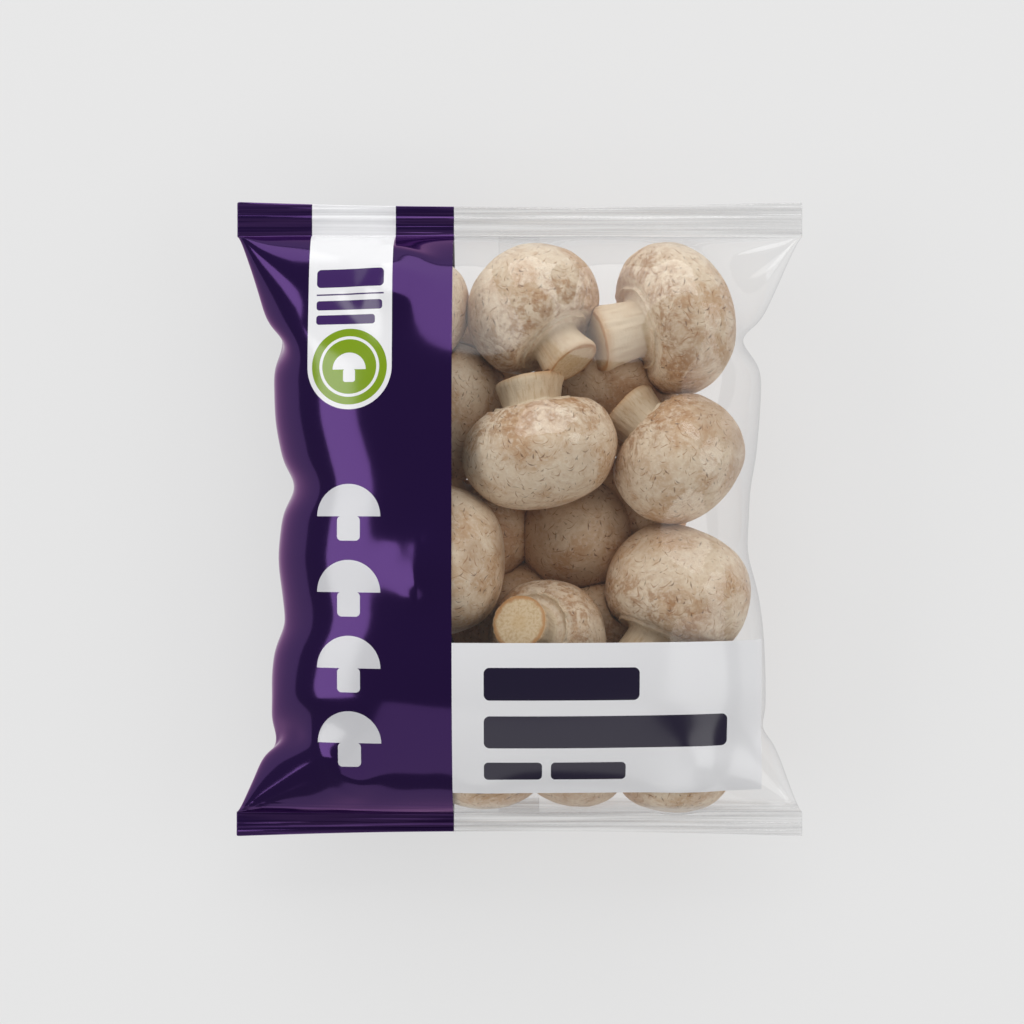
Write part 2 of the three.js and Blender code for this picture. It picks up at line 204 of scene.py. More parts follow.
def mushroom_profile(width, height, stem_radius, stem_length):
    """Plain outline (radius, height) from the cut end of the stem to the crown."""
    radius = width / 2
    rim = -height / 2
    end = rim - stem_length
    return np.array([
        (0, end), (stem_radius * 1.06, end), (stem_radius * 1.08, end + 1.6),
        (stem_radius * 0.98, (end + rim) / 2), (stem_radius * 0.93, rim - 0.8),
        (stem_radius + 1.8, rim + 0.6), (radius * 0.70, rim + height * 0.02),
        (radius * 0.90, rim + height * 0.14), (radius, rim + height * 0.41),
        (radius * 0.93, rim + height * 0.66), (radius * 0.71, rim + height * 0.87),
        (radius * 0.37, rim + height * 0.975), (0, rim + height),
    ])


def rounded(corners, per_span=5):
    """Smooth curve through the corners, from the second on, as a list of points."""
    before = 2 * corners[:1] - corners[1:2]
    after = corners[-2:-1] * (-1, 1)
    padded = np.vstack([before, corners, after])
    curve = []
    for a, b, c, d in zip(padded[:-3], padded[1:-2], padded[2:-1], padded[3:]):
        for step in range(1, per_span + 1):
            t = step / per_span
            curve.append(tuple(0.5 * (2 * b + (c - a) * t + (2 * a - 5 * b + 4 * c - d) * t**2
                                      + (3 * b - a - 3 * c + d) * t**3)))
    return curve


def fine_outline(width, height, stem_radius, stem_length):
    """The same outline, rounded, with the torn veil's two lips under the cap's rim. Row 0 is
    the middle of the cut end, and the last row the crown."""
    radius = width / 2
    rim = -height / 2
    end = rim - stem_length
    cut_end = [(0, end - 0.15), (stem_radius * 0.45, end - 0.1), (stem_radius * 0.88, end),
               (stem_radius * 1.03, end + 0.04)]
    corners = np.array([
        (stem_radius * 1.07, end + 0.3), (stem_radius * 1.08, end + 1.6),
        (stem_radius * 0.98, (end + rim) / 2), (stem_radius * 0.93, rim - 1.4),
        (stem_radius * 1.0, rim - 0.2), (stem_radius + 1.6, rim + 0.5),
        (stem_radius + 2.9, rim - 0.35), (stem_radius + 3.3, rim + 0.7),
        (radius * 0.64, rim + height * 0.01 + 0.1), (radius * 0.72, rim + height * 0.03),
        (radius * 0.82, rim + height * 0.09), (radius * 0.92, rim + height * 0.19),
        (radius, rim + height * 0.42), (radius * 0.93, rim + height * 0.66),
        (radius * 0.71, rim + height * 0.87), (radius * 0.37, rim + height * 0.975),
        (0, rim + height),
    ])
    return np.array(cut_end + [tuple(corners[0])] + rounded(corners))


def off_outline(local, outline):
    """Signed distance from a mushroom's plain outline and the way out of it (radius, height)."""
    radius = np.hypot(local[:, 0], local[:, 1])
    flat = np.stack([radius, local[:, 2]], 1)
    start = outline[:-1]
    edge = outline[1:] - start
    share = ((flat[:, None] - start[None]) * edge[None]).sum(2) / (edge**2).sum(1)
    closest = start[None] + edge[None] * np.clip(share, 0, 1)[..., None]
    squares = ((flat[:, None] - closest) ** 2).sum(2)
    best = squares.argmin(1)
    rows = np.arange(len(best))
    away = flat - closest[rows, best]
    distance = np.sqrt(squares[rows, best]) + 1e-9
    inside = ((flat[:, 1] > outline[0, 1]) & (flat[:, 1] < outline[-1, 1])
              & (radius < np.interp(flat[:, 1], outline[:, 1], outline[:, 0])))
    sign = np.where(inside, -1, 1)
    return sign * distance, away * (sign / distance)[:, None]


class Contact:
    """Keeps points outside the first `count` mushrooms, or all of them, by their outlines."""

    def __init__(self, clearance, count=None):
        self.clearance = clearance
        self.shapes = []
        for at, stem, width, height, stem_radius, stem_length, *_ in MUSHROOMS[:count]:
            outline = mushroom_profile(width, height, stem_radius, stem_length)
            reach = max(width / 2, height / 2 + stem_length) + clearance + 3
            self.shapes.append((np.array(at, float), crown_turn(stem), outline, reach))
        self.near = []

    def refresh(self, points):
        """Notes which points are near which mushroom."""
        margin = 8
        self.near = [np.where(((points - at) ** 2).sum(1) < (reach + margin) ** 2)[0]
                     for at, _, _, reach in self.shapes]

    def push(self, points):
        for (at, turn, outline, _), near in zip(self.shapes, self.near):
            local = (points[near] - at) @ turn
            distance, outward = off_outline(local, outline)
            depth = self.clearance - distance
            hit = depth > 0
            step = outward[hit] * depth[hit, None]
            radius = np.hypot(local[hit, 0], local[hit, 1])
            sideways = local[hit, :2] / np.maximum(radius, 1e-3)[:, None]
            push = np.column_stack([sideways * step[:, :1], step[:, 1]])
            points[near[hit]] += push @ turn.T


def crowding(points, k):
    """1 where mushroom k touches another, falling off over a few millimetres."""
    fade, far = 2.5, 55
    distance = np.full(len(points), 99.0)
    for other, (at, stem, *sizes) in enumerate(MUSHROOMS):
        if other == k or np.linalg.norm(np.subtract(at, MUSHROOMS[k][0])) > far:
            continue
        local = (points - np.array(at)) @ crown_turn(stem)
        distance = np.minimum(distance, off_outline(local, mushroom_profile(*sizes[:4]))[0])
    return np.exp(-np.maximum(distance, 0) / fade)


def shade(points, k):
    """Painted shade for each point, from 0 to 1: stronger the deeper it lies in the bag and the closer it
    lies to a neighbour.
    """
    lit, dark, by_neighbours = 37, 13, 0.6
    depth = np.clip((lit - points[:, 2]) / (lit - dark), 0, 1)
    return 1 - (1 - depth) * (1 - by_neighbours * crowding(points, k))


def mushroom_rings(spec, outline, rng):
    """Rings of points up the outline: an uneven round, flutes along the stem and ragged lips."""
    _, _, width, height, stem_radius, stem_length, _, oval = spec
    rim = -height / 2
    end = rim - stem_length
    turns = np.arange(MUSHROOM_SIDES) * 2 * np.pi / MUSHROOM_SIDES
    ring = np.stack([np.cos(turns), np.sin(turns)], 1)
    reach = outline[1:-1, 0][:, None]
    level = np.repeat(outline[1:-1, 1][:, None], MUSHROOM_SIDES, 1)

    circle = np.column_stack([ring * 3, np.zeros(MUSHROOM_SIDES)])
    lobes = oval * np.cos(2 * turns) + 0.5 * oval * np.cos(3 * turns + 1)
    ragged = wavy(circle, rng, 2.2)
    fine_ragged = wavy(circle, rng, 0.7)
    flutes = wavy(circle, rng, 2.6) + 0.6 * wavy(circle, rng, 0.8)
    scalloped = wavy(circle, rng, 1.6)

    def near(radius, spread):
        return np.exp(-((reach - radius) / spread) ** 2) * (level < rim + height * 0.12)

    lip, margin = near(stem_radius + 2.9, 0.7), near(width * 0.33, 0.8)
    flute_depth = 0.16
    on_stem = np.clip((rim - 0.9 - level) / 2, 0, 1) * (level > end + 0.1)
    radius = reach * (1 + lobes[None])
    radius = radius + on_stem * flute_depth * flutes[None]
    radius = radius + lip * (0.35 * ragged + 0.15 * fine_ragged)[None]
    radius = radius + margin * (0.3 * scalloped + 0.3 * fine_ragged)[None]
    level = level - lip * (0.15 * np.abs(ragged) + 0.1 * fine_ragged)[None]
    level = level - margin * (0.12 * scalloped + 0.08 * fine_ragged)[None]
    rings = np.stack([radius * ring[None, :, 0], radius * ring[None, :, 1], level], 2).reshape(-1, 3)
    return np.vstack([rings, [[0, 0, outline[0, 1]], [0, 0, outline[-1, 1]]]])


def bent_and_lumpy(points, spec, rng):
    """Bends the stem's end to one side and gives the whole its low lumps."""
    _, _, width, height, _, stem_length, bend, _ = spec
    lump_height, small_height = 0.35, 0.07
    points = points.copy()
    below = np.maximum(0, -points[:, 2] - height * 0.35) / stem_length
    points[:, 0] += bend * below**2
    lump = wavy(points, rng, width * 0.75)
    small = wavy(points, rng, width * 0.22)
    outward = points / np.maximum(np.linalg.norm(points, axis=1), 1e-6)[:, None]
    return points + outward * (lump_height * lump + small_height * small)[:, None]


def keep_inside(points, skin):
    """Presses what would touch the film from within back under it."""
    room, deepest = 0.3, 2.5
    for i, point in enumerate(points):
        place, normal, _, _ = skin.find_nearest(point, deepest)
        if place is None:
            continue
        over = (Vector(point) - place).dot(normal) + room
        if over > 0:
            points[i] = point - np.array(normal) * over


def packed_in(points, k, skin):
    """The mushroom's points in the bag, pressed off earlier mushrooms, the floor and the film."""
    at, stem = MUSHROOMS[k][:2]
    world = points @ crown_turn(stem).T + np.array(at)
    earlier = Contact(MUSHROOM_GAP, count=k)
    earlier.refresh(world)
    for _ in range(2):
        earlier.push(world)
    world[:, 2] = np.maximum(world[:, 2], LOWEST_FLESH)
    keep_inside(world, skin)
    world[:, 2] = np.maximum(world[:, 2], LOWEST_PRESSED)
    return world


def mushroom_faces(rows):
    """Quads between the rings, and triangles to the points in the middle of both ends."""
    grid = np.arange(rows * MUSHROOM_SIDES).reshape(rows, MUSHROOM_SIDES)
    faces = strip_faces(grid)
    low, high = grid.size, grid.size + 1
    for i in range(MUSHROOM_SIDES):
        j = (i + 1) % MUSHROOM_SIDES
        faces.append((low, int(grid[0, j]), int(grid[0, i])))
        faces.append((high, int(grid[-1, i]), int(grid[-1, j])))
    return faces


def mushroom_piece(k, spec, skin):
    _, _, width, height, stem_radius, stem_length, _, _ = spec
    rng = np.random.default_rng(100 + k)
    outline = fine_outline(width, height, stem_radius, stem_length)
    straight = mushroom_rings(spec, outline, rng)
    across = np.hypot(straight[:, 0], straight[:, 1])
    above_rim = straight[:, 2] + height / 2
    rise = np.where(above_rim > 0, above_rim / height, above_rim / stem_length)
    points = bent_and_lumpy(straight, spec, rng)
    world = packed_in(points, k, skin)

    name = f"mushroom_{k + 1:02d}"
    piece = new_mesh_object(name + "_flesh", world, mushroom_faces(len(outline) - 2))
    far_off = 500
    store(piece, "axial", points + rng.uniform(-far_off, far_off, 3) * (1, 1, 0))
    store(piece, "spot", world + rng.uniform(-far_off, far_off, 3))
    store(piece, "rise", rise)
    store(piece, "girth", across / stem_radius)
    store(piece, "span", across / (width / 2))
    store(piece, "tint", np.full(len(points), rng.uniform(0, 1)))
    # painted shade, stronger deep in the bag and beside neighbours, for the material to multiply into the
    # colour
    store(piece, "painted_shade", shade(world, k))
    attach(piece, "root")
    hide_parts(name)
    return piece


# ---------------------------------------------------------------- film

def fullness(y):
    """How far along the bag a height lies (0 the middle, 1 a seal) and how full the bag is there."""
    low_taper, high_taper, roundness = 3.6, 2.8, 0.52
    along = np.clip(np.where(y < 0, -y / SEAL_BOTTOM, y / SEAL_TOP), 0, 1)
    return along, np.maximum(0, 1 - along ** np.where(y < 0, low_taper, high_taper)) ** roundness


def resting_section(y, count=720):
    """Closed outline of the bag at one height: a full front, a flatter back, and sides that are
    round in the middle of the bag and sharp near its seals."""
    round_side, sharper, thinnest = 0.86, 0.9, 0.15
    left = smooth_table(SIDE_OUTLINE[:, 0], SIDE_OUTLINE[:, 1], y)
    right = smooth_table(SIDE_OUTLINE[:, 0], SIDE_OUTLINE[:, 2], y)
    along, full = fullness(np.array(y))
    pinch_from = 0.6
    pinch = np.clip((along - pinch_from) / (1 - pinch_from), 0, 1)
    turn = np.arange(count + 1) * 2 * np.pi / count
    sine = np.sin(turn)
    rise = np.sign(sine) * np.abs(sine) ** (round_side + sharper * pinch)
    depth = np.where(sine > 0, FRONT_RISE, BACK_DROP) * full + thinnest
    across = (right - left) / 2 + (right + left) / 2 * np.cos(turn)
    return np.stack([across, np.full(count + 1, y), SEAL_Z + depth * rise], 1)


def resting_film(rows, columns):
    """The bag before the mushrooms press into it, as evenly spaced rows of points."""
    mean_rise = (FRONT_RISE + BACK_DROP) / 2
    y = np.linspace(-SEAL_BOTTOM, SEAL_TOP, 600)
    _, full = fullness(y)
    along = np.r_[0, np.cumsum(np.hypot(np.diff(y), np.diff(mean_rise * full)))]
    places = np.interp(np.linspace(0, along[-1], rows + 1), along, y)
    return np.stack([resample(resting_section(place), columns) for place in places])


def double(grid):
    """The grid with twice the rows and columns, on smooth curves through the old points."""
    rows, columns = grid.shape[0] - 1, grid.shape[1]
    wide = np.empty((rows + 1, 2 * columns, 3))
    wide[:, 0::2] = grid
    wide[:, 1::2] = (9 * (grid + np.roll(grid, -1, 1)) - (np.roll(grid, 1, 1) + np.roll(grid, -2, 1))) / 16
    tall = np.empty((2 * rows + 1, 2 * columns, 3))
    tall[0::2] = wide
    padded = np.concatenate([2 * wide[:1] - wide[1:2], wide, 2 * wide[-1:] - wide[-2:-1]])
    tall[1::2] = (9 * (wide[:-1] + wide[1:]) - (padded[:-3] + padded[3:])) / 16
    return tall


def unevenness(net):
    """How far each point stands off the middle of its four neighbours."""
    tall = np.concatenate([2 * net[:1] - net[1:2], net, 2 * net[-1:] - net[-2:-1]])
    middle = (np.roll(net, 1, 1) + np.roll(net, -1, 1) + tall[:-2] + tall[2:]) / 4
    return net - middle


def outward_normals(net):
    around = np.roll(net, -1, 1) - np.roll(net, 1, 1)
    upward = np.gradient(net, axis=0)
    outward = np.cross(upward, around)
    return outward / (np.linalg.norm(outward, axis=2, keepdims=True) + 1e-9)


class Threads:
    """The film's threads, in groups that share no point. `free` is 0 where the film is held."""

    def __init__(self, free):
        self.free = free
        self.groups = []

    def tie(self, a, b, length, stretch, crush):
        """Adds threads from a to b, and how much of their stretch and crush a sweep takes out."""
        a, b = a.ravel(), b.ravel()
        length = np.broadcast_to(length, a.shape) if np.ndim(length) == 0 else length.ravel()
        both = self.free[a] + self.free[b]
        keep = both > 0
        a, b, length, both = a[keep], b[keep], length[keep], both[keep]
        share_a = (self.free[a] / both)[:, None]
        share_b = (self.free[b] / both)[:, None]
        self.groups.append((a, b, length, share_a, share_b, stretch, crush))

    def correct(self, points):
        for a, b, length, share_a, share_b, stretch, crush in self.groups:
            gap = points[b] - points[a]
            now = np.sqrt((gap**2).sum(1)) + 1e-9
            excess = now - length
            move = gap * (np.where(excess > 0, stretch, crush) * excess / now)[:, None]
            points[a] += move * share_a
            points[b] -= move * share_b


def film_threads(free, girth_step, length_step):
    """Threads round the bag, along it, both slants between them, and long ones against bends."""
    crush, bend, shear = 0.5, 0.25, 0.3
    rows, columns = free.shape[0] - 1, free.shape[1]
    index = np.arange(free.size).reshape(free.shape)
    right = np.roll(index, -1, 1)
    right2 = np.roll(index, -2, 1)
    slant = np.sqrt(girth_step**2 + length_step**2)
    threads = Threads(free.ravel())
    for odd in (0, 1):
        threads.tie(index[:, odd::2], right[:, odd::2], girth_step, 1.0, crush)
        threads.tie(index[:-1][odd::2], index[1:][odd::2], length_step[odd::2], 1.0, crush)
        threads.tie(index[:-1][odd::2], right[1:][odd::2], slant[odd::2], shear, shear * crush)
        threads.tie(right[:-1][odd::2], index[1:][odd::2], slant[odd::2], shear, shear * crush)
        picked = (np.arange(columns) // 2) % 2 == odd
        threads.tie(index[:, picked], right2[:, picked], 2 * girth_step, 0.0, bend)
        picked = np.arange(rows - 1)
        picked = picked[(picked // 2) % 2 == odd]
        two_steps = (length_step[:-1] + length_step[1:])[picked]
        threads.tie(index[picked], index[picked + 2], two_steps, 0.0, bend)
    return threads


def relax_film(grid, rest, length_step, contact, sweeps, pressure, hold, stiffness):
    """Settles the film: threads keep their length, the air inside pushes, mushrooms push back."""
    refresh_every = 40
    free = np.ones(grid.shape[:2])
    free[[0, -1]] = 0
    threads = film_threads(free, FILM_GIRTH / grid.shape[1], length_step)
    points = grid.reshape(-1, 3).copy()
    home = rest.reshape(-1, 3)
    moving = free.ravel()[:, None]
    fixed = free.ravel() == 0
    for sweep in range(sweeps):
        if sweep % refresh_every == 0:
            contact.refresh(points)
        net = points.reshape(grid.shape)
        points += pressure * outward_normals(net).reshape(-1, 3) * moving
        points += (home - points) * hold * moving
        points -= stiffness * unevenness(unevenness(net)).reshape(-1, 3) * moving
        threads.correct(points)
        contact.push(points)
        points[:, 2] = np.maximum(points[:, 2], 0)
        points[fixed] = home[fixed]
    return points.reshape(grid.shape)


def film_points():
    """The settled film between the seals, as rows of points round the bag."""
    rng = np.random.default_rng(5)
    unsteady = 0.08
    rest = resting_film(FILM_ROWS, FILM_COLUMNS)
    contact = Contact(FILM_CLEARANCE)
    sides = np.abs(np.cos(np.arange(FILM_COLUMNS) * 2 * np.pi / FILM_COLUMNS)) ** 6
    slack = 1.006 + 0.02 * sides[None]
    length_step = np.linalg.norm(rest[1:] - rest[:-1], axis=2) * slack
    inner = np.r_[0, np.ones(FILM_ROWS - 1), 0][:, None, None]
    start = rest + rng.normal(0, unsteady, rest.shape) * inner
    grid = relax_film(start, rest, length_step, contact,
                      sweeps=300, pressure=0.012, hold=0.01, stiffness=0.3)
    length_step = np.repeat(np.repeat(length_step, 2, 0) / 2, 2, 1)
    return relax_film(double(grid), double(rest), length_step, contact,
                      sweeps=260, pressure=0.006, hold=0.004, stiffness=0.35)


def film_surface(grid):
    """The film as something to look up nearest points on."""
    index = np.arange(grid.shape[0] * grid.shape[1]).reshape(grid.shape[:2])
    return BVHTree.FromPolygons(grid.reshape(-1, 3).tolist(), strip_faces(index, rows_first=True))


def seal_rows(edge_row, sign):
    """Crimped seal: rows of points from the weld's start to the cut edge, ribbed."""
    start = SEAL_TOP if sign > 0 else SEAL_BOTTOM
    half = edge_row.shape[0] // 2
    front = np.arange(edge_row.shape[0]) <= half
    apart, rib_height, unevenly, wave_height = 0.12, 0.16, 0.10, 0.25
    rows = []
    for k in range(1, SEAL_STEPS + 1):
        share = k / SEAL_STEPS
        row = edge_row.copy()
        y = start + (SEAL_END - start) * share
        bow = EDGE_BOW * (1 - (row[:, 0] / SEAL_HALF_WIDTH) ** 2)
        row[:, 1] = sign * (y - bow * share)
        rib = rib_height * math.sin(2 * math.pi * SEAL_RIBS * share)
        rib += unevenly * math.sin(5.0 + 17.0 * share)
        wave = wave_height * np.sin(row[:, 0] * 0.09 + k * 0.2) * share
        row[:, 2] = SEAL_Z + rib + wave + np.where(front, apart, -apart)
        rows.append(row)
    return rows


def cut_edge_faces(edge):
    """Narrow faces that join the front and the back along a seal's cut edge."""
    count = len(edge)
    faces = []
    for i in range(count // 2):
        corners = [edge[i], edge[i + 1], edge[(count - i - 1) % count], edge[(count - i) % count]]
        faces.append([v for n, v in enumerate(corners) if v not in corners[:n]])
    return faces


def open_vent(points, faces, front, place):
    """Takes the back's faces at a vent away and draws the rim of what is left to a circle."""
    square = points[:, :2] - place
    reach = np.hypot(square[:, 0], square[:, 1])
    inside = (reach < VENT_RADIUS * 1.02) & (front < 0.5)
    kept, gone = [], []
    for face in faces:
        (gone if inside[list(face)].sum() >= len(face) / 2 else kept).append(face)
    rim = sorted({v for face in kept for v in face} & {v for face in gone for v in face})
    points[rim, :2] = place + square[rim] * (VENT_RADIUS / reach[rim])[:, None]
    return kept


def fin_strip(net, first):
    """The lengthwise seam's fin, folded flat under the back: a thin strip between the seals."""
    half = net.shape[1] // 2
    under, over = -FIN_THICKNESS + 0.1, -0.1
    xs = np.array([-FIN_WIDTH / 2, 0, FIN_WIDTH / 2])
    rings = []
    for row in net[SEAL_STEPS:-SEAL_STEPS]:
        back = row[half:]
        z = np.interp(xs, back[:, 0], back[:, 2])
        y = np.interp(xs, back[:, 0], back[:, 1])
        low = np.stack([xs, y, np.maximum(z + under, 0)], 1)
        high = np.stack([xs, y, z + over], 1)
        rings.append(np.vstack([high, low[::-1]]))
    rings = np.array(rings)
    index = first + np.arange(rings.shape[0] * rings.shape[1]).reshape(rings.shape[:2])
    faces = strip_faces(index)
    for row, step in ((0, -1), (-1, 1)):
        a, b, c, d, e, f = index[row].tolist()
        faces += [[a, b, e, f][::step], [b, c, d, e][::step]]
    return rings.reshape(-1, 3), faces


def film_piece(grid):
    net = np.concatenate([seal_rows(grid[0], -1)[::-1], grid, seal_rows(grid[-1], 1)])
    over_fin = np.abs(net[..., 0]) < FIN_WIDTH / 2 + 1
    net[..., 2] = np.where(over_fin, np.maximum(net[..., 2], FIN_THICKNESS), net[..., 2])
    rows, columns = net.shape[:2]
    index = np.arange(rows * columns).reshape(rows, columns)
    faces = strip_faces(index, rows_first=True)
    faces += cut_edge_faces(index[0].tolist())
    faces += [face[::-1] for face in cut_edge_faces(index[-1].tolist())]
    points = net.reshape(-1, 3)
    front = np.tile(np.where(np.arange(columns) / columns <= 0.5, 1.0, 0.0), rows)
    for place in VENTS:
        faces = open_vent(points, faces, front, np.array(place))
    fin, fin_faces = fin_strip(net, len(points))
    piece = new_mesh_object("film_bag_skin", np.vstack([points, fin]), faces + fin_faces)
    store(piece, "front", np.r_[front, np.zeros(len(fin))])
    store(piece, "fin", np.r_[np.zeros(len(points)), np.ones(len(fin))])
    divide = piece.modifiers.new("divide", "SUBSURF")
    divide.levels = divide.render_levels = 1
    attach(piece, "root")
    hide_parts("film_bag")
    return piece


# ---------------------------------------------------------------- shader nodes

def rgb(hex_code):
    """Linear colour from a plain hex code."""
    parts = [int(hex_code[k:k + 2], 16) / 255 for k in (1, 3, 5)]
    linear = [p / 12.92 if p <= 0.04045 else ((p + 0.055) / 1.055) ** 2.4 for p in parts]
    return (*linear, 1.0)


class Nodes:
    """Short ways to make and join shader nodes."""

    def __init__(self, name):
        self.material = bpy.data.materials.new(name)
        self.material.use_nodes = True
        self.tree = self.material.node_tree
        self.tree.nodes.clear()
        self.output = self.tree.nodes.new("ShaderNodeOutputMaterial")

    def add(self, kind, inputs=None, **settings):
        node = self.tree.nodes.new("ShaderNode" + kind)
        for key, value in settings.items():
            setattr(node, key, value)
        for key, value in (inputs or {}).items():
            self.feed(node.inputs[key], value)
        return node

    def feed(self, socket, value):
        if isinstance(value, bpy.types.NodeSocket):
            self.tree.links.new(value, socket)
        else:
            socket.default_value = value

    def finish(self, shader):
        self.feed(self.output.inputs["Surface"], shader)
        return self.material

    def math(self, operation, a, b=None, c=None):
        node = self.add("Math", operation=operation)
        for socket, value in zip(node.inputs, (a, b, c)):
            if value is not None:
                self.feed(socket, value)
        return node.outputs[0]

    def times(self, a, b):
        return self.math("MULTIPLY", a, b)

    def rest(self, share):
        """What is left of 1."""
        return self.math("SUBTRACT", 1.0, share)

    def step(self, value, low, high):
        """Rises smoothly from 0 at low to 1 at high."""
        node = self.add("MapRange", {"Value": value, "From Min": low, "From Max": high},
                        interpolation_type="SMOOTHSTEP", clamp=True)
        return node.outputs["Result"]

    def mix(self, factor, a, b, blend="MIX"):
        node = self.add("Mix", data_type="RGBA", blend_type=blend, clamp_factor=True)
        self.feed(node.inputs["Factor"], factor)
        self.feed(node.inputs["A"], a)
        self.feed(node.inputs["B"], b)
        return node.outputs["Result"]

    def stain(self, colour, hex_code, mask, strength=None):
        """The colour, turned towards the hex code's where the mask is, as far as strength says."""
        factor = mask if strength is None else self.times(mask, strength)
        return self.mix(factor, colour, rgb(hex_code))

    def mix_shaders(self, factor, a, b):
        node = self.add("MixShader", {0: factor, 1: a.outputs[0], 2: b.outputs[0]})
        return node

    def vector(self, operation, a, b=None, c=None, output=0):
        inputs = {k: value for k, value in enumerate((a, b, c)) if value is not None}
        return self.add("VectorMath", inputs, operation=operation).outputs[output]

    def attribute(self, name, output="Fac"):
        return self.add("Attribute", attribute_name=name).outputs[output]

    def coordinate(self, kind):
        return self.add("TexCoord").outputs[kind]

    def noise(self, vector, scale, detail=3.0, roughness=0.55, output="Fac"):
        node = self.add("TexNoise", {"Vector": vector, "Scale": scale, "Detail": detail,
                                     "Roughness": roughness})
        return node.outputs[output]

    def stretch(self, vector, scale):
        node = self.add("Mapping", {"Vector": vector, "Scale": scale})
        return node.outputs["Vector"]


# ---------------------------------------------------------------- mushroom material

def flecks(n, vector, cell, length, width, curl, density):
    """Short curved strokes lying in the surface, one to a cell, each turned its own way."""
    normal = n.coordinate("Normal")
    cells = n.add("TexVoronoi", {"Vector": vector, "Scale": 1 / cell, "Randomness": 1.0}, feature="F1")
    colour = cells.outputs["Color"]
    offset = n.vector("SUBTRACT", vector, cells.outputs["Position"])
    heading = n.vector("SUBTRACT", colour, (0.5, 0.5, 0.5))
    side = n.vector("NORMALIZE", n.vector("CROSS_PRODUCT", normal, heading))
    ahead = n.vector("CROSS_PRODUCT", side, normal)
    along = n.vector("DOT_PRODUCT", offset, ahead, output="Value")
    across = n.vector("DOT_PRODUCT", offset, side, output="Value")

    draw = n.add("SeparateColor", {"Color": colour})
    bow = n.times(n.math("SUBTRACT", draw.outputs["Red"], 0.5), curl)
    off_curve = n.math("SUBTRACT", across, n.times(bow, n.math("POWER", along, 2.0)))
    own_length = n.math("MULTIPLY_ADD", draw.outputs["Blue"], length * 0.75, length * 0.25)
    share = n.math("DIVIDE", n.math("ABSOLUTE", along), own_length)
    taper = n.times(n.rest(n.math("MINIMUM", share, 1.0)), width)
    beside = n.math("SUBTRACT", n.math("ABSOLUTE", off_curve), taper)
    inside = n.rest(n.step(beside, -width * 0.3, width * 0.3))
    ended = n.math("LESS_THAN", share, 1.0)
    chosen = n.math("LESS_THAN", draw.outputs["Green"], density)
    return n.times(n.times(inside, ended), chosen)


def cap_skin(n, spot, rise, tint):
    """Cream with tan cloudy patches, wispy fibrils and brown flecks: its colour and relief."""
    warp = n.noise(spot, 0.11, 1.0, output="Color")
    warped = n.vector("MULTIPLY_ADD", warp, (7.0, 7.0, 7.0), spot)
    clouds = n.noise(warped, 0.07, 3.0, 0.65)
    patches = n.step(n.math("MULTIPLY_ADD", tint, 0.06, clouds), 0.45, 0.66)
    colour = n.stain(rgb("#DDCAB0"), "#B88E63", patches, 0.75)
    near_rim = n.rest(n.step(rise, 0.16, 0.48))
    crust = n.times(near_rim, n.step(n.noise(warped, 0.33, 3.0, 0.65), 0.40, 0.62))
    colour = n.stain(colour, "#9C6D40", crust, 0.7)
    mottle = n.step(n.noise(warped, 0.5, 3.0, 0.68), 0.44, 0.78)
    colour = n.stain(colour, "#AE8052", mottle, 0.45)
    pale = n.noise(spot, 0.9, 3.0, 0.65)
    colour = n.stain(colour, "#EBE0CF", n.step(pale, 0.44, 0.74), 0.46)
    bruise = n.step(n.noise(warped, 0.05, 2.0, 0.5), 0.54, 0.74)
    colour = n.stain(colour, "#9A7047", n.times(bruise, n.math("MULTIPLY_ADD", tint, 0.35, 0.25)))
    wisps = flecks(n, warped, cell=3.4, length=2.3, width=0.15, curl=0.9, density=0.9)
    colour = n.stain(colour, "#94602F", wisps, 0.6)
    large = flecks(n, spot, cell=3.8, length=1.4, width=0.24, curl=1.2, density=0.42)
    small = flecks(n, warped, cell=2.4, length=0.6, width=0.13, curl=1.5, density=0.5)
    crowd = n.math("MULTIPLY_ADD", n.step(clouds, 0.35, 0.6), 0.4, 0.6)
    fleck = n.times(n.math("MAXIMUM", n.times(large, 0.72), n.times(small, 0.6)), crowd)
    colour = n.stain(colour, "#5E3A1B", fleck)

    # the relief leaves the flecks out, because a renderer works the relief out three times a point
    pits = n.noise(spot, 0.45, 2.0, 0.7)
    return colour, n.math("ADD", n.times(pits, 0.5), n.times(pale, 0.35))


def cut_end(n, spot, girth):
    """Pale pith with a darker heart and a tan edge."""
    grain = n.noise(spot, 1.3, 2.0)
    pith = n.stain(rgb("#CFB996"), "#B49263", n.step(grain, 0.4, 0.7), 0.6)
    heart = n.rest(n.step(girth, 0.15, 0.45))
    pith = n.stain(pith, "#BE9C69", heart, 0.35)
    uneven = n.math("MULTIPLY_ADD", n.noise(spot, 0.45, 2.0), 0.22, girth)
    return n.stain(pith, "#AF7C45", n.step(uneven, 0.96, 1.10), 0.85)


def stem_skin(n, spot, axial, rise, girth):
    """Cream with long fibres, browner towards the cut end: its colour and the fibres."""
    fibres = n.noise(n.stretch(axial, (1.8, 1.8, 0.10)), 0.8, 3.0, 0.62)
    colour = n.stain(rgb("#D5C3A7"), "#B08F65", n.step(fibres, 0.45, 0.75), 0.55)
    cloud = n.step(n.noise(spot, 0.1, 2.0), 0.48, 0.72)
    colour = n.stain(colour, "#B48D5F", cloud, 0.4)
    near_cut = n.rest(n.step(rise, -0.97, -0.80))
    colour = n.stain(colour, "#B5813F", near_cut, 0.35)
    on_cut = n.rest(n.step(rise, -0.995, -0.975))
    return n.mix(on_cut, colour, cut_end(n, spot, girth)), fibres


